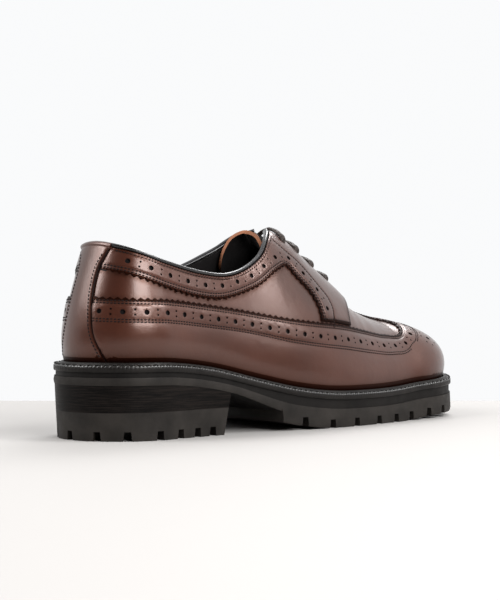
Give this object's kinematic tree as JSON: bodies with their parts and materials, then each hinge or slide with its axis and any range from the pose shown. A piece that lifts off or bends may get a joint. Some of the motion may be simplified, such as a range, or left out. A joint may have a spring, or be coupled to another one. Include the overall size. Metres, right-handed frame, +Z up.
{
  "type": "longwing brogue shoe",
  "caption": "Low-cut right derby brogue in brown leather: hollow lasted upper with long wing tip, laced facings, storm welt and lugged rubber sole with stacked heel.",
  "frame": {"origin": "centre of the sole's outline on the floor", "axes": "+X from heel to toe, +Y to the inner side of the foot, +Z up"},
  "size_m": [0.307, 0.1072, 0.1219],
  "materials": {
    "upper_leather": "polished dark red-brown leather, burnished",
    "binding_leather": "smooth black edge binding",
    "tongue_leather": "brown leather with a raw tan edge",
    "lining_leather": "dark smooth lining",
    "welt_leather": "black dressed welt with stitches",
    "sole_edge": "black midsole edge",
    "sole_rubber": "satin black-grey rubber",
    "heel_leather": "dark stacked leather lifts",
    "lace_cotton": "dark brown waxed cotton lace"
  },
  "bodies": {
    "root": {"outsole": "sole_rubber", "heel_top_piece": "sole_rubber", "midsole": "sole_edge", "welt": "welt_leather", "heel_stack": "heel_leather", "insole": "lining_leather", "upper": "upper_leather", "tongue": "tongue_leather", "longwing": "upper_leather", "facing_outer": "upper_leather", "facing_inner": "upper_leather", "backstay": "upper_leather", "topline_binding": "binding_leather", "lace_1": "lace_cotton", "lace_2": "lace_cotton", "lace_3": "lace_cotton", "lace_4": "lace_cotton"}
  },
  "joints": []
}
